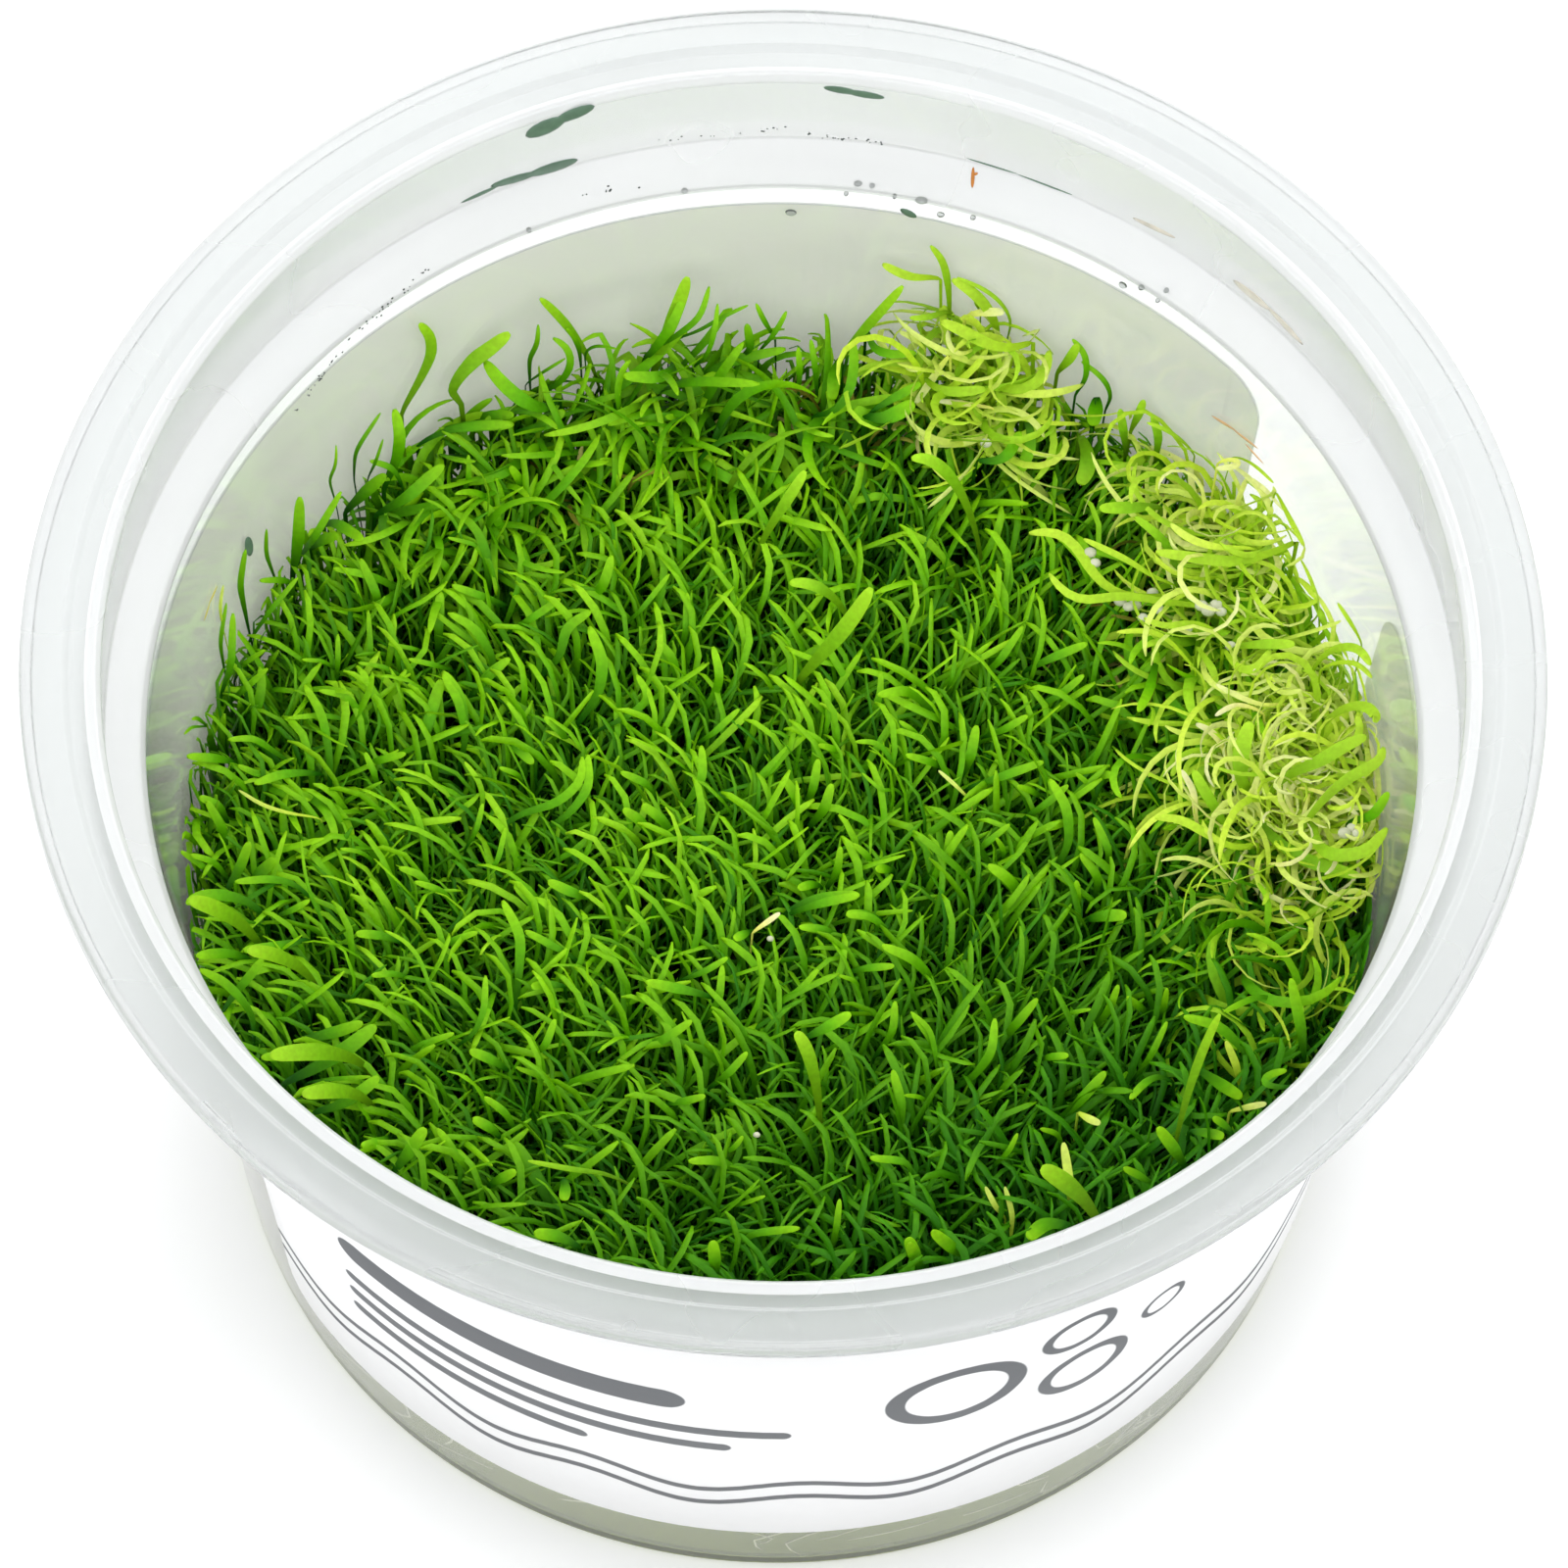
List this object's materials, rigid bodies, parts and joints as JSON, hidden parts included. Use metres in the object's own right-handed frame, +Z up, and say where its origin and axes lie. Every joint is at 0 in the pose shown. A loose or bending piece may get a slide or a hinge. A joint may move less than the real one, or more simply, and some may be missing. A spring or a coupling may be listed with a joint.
{
  "type": "bladderwort in a culture cup",
  "caption": "Dense turf of grass-leaved bladderwort rooted in gel in an open, clear, tapered plastic culture cup with plain labels.",
  "frame": {"origin": "centre of the cup's flat underside", "axes": "+Z up through the cup's mouth, -Y towards the front label, +X to the right of the front label"},
  "size_m": [0.101, 0.101, 0.0605],
  "materials": {
    "cup_plastic": "clear, slightly milky moulded polypropylene",
    "label_film": "matt white film with grey print",
    "gel": "translucent green-beige nutrient gel with whitish root threads",
    "runners": "felt of olive runners and pale root threads",
    "leaf": "fresh, slightly translucent bright green blades",
    "pale_leaf": "pale yellow-green to cream curly blades"
  },
  "bodies": {
    "root": {"cup": "cup_plastic", "front_label": "label_film", "back_label": "label_film", "nutrient_gel": "gel", "runner_mat": "runners", "short_leaf_carpet": "leaf", "back_right_leaves": "leaf", "back_pale_tuft": "pale_leaf", "tall_back_leaves": "leaf", "left_wall_leaves": "leaf", "spoon_leaves": "leaf", "front_wall_leaves": "leaf", "front_right_leaves": "leaf", "right_pale_tuft": "pale_leaf", "long_leaf_01": "leaf", "long_leaf_02": "leaf", "long_leaf_03": "leaf", "long_leaf_04": "leaf", "long_leaf_05": "leaf", "long_leaf_06": "leaf", "long_leaf_07": "leaf", "long_leaf_08": "leaf", "long_leaf_09": "leaf", "long_leaf_10": "leaf", "long_leaf_11": "leaf", "long_leaf_12": "leaf", "long_leaf_13": "leaf", "long_leaf_14": "leaf", "long_leaf_15": "leaf", "long_leaf_16": "leaf"}
  },
  "joints": []
}
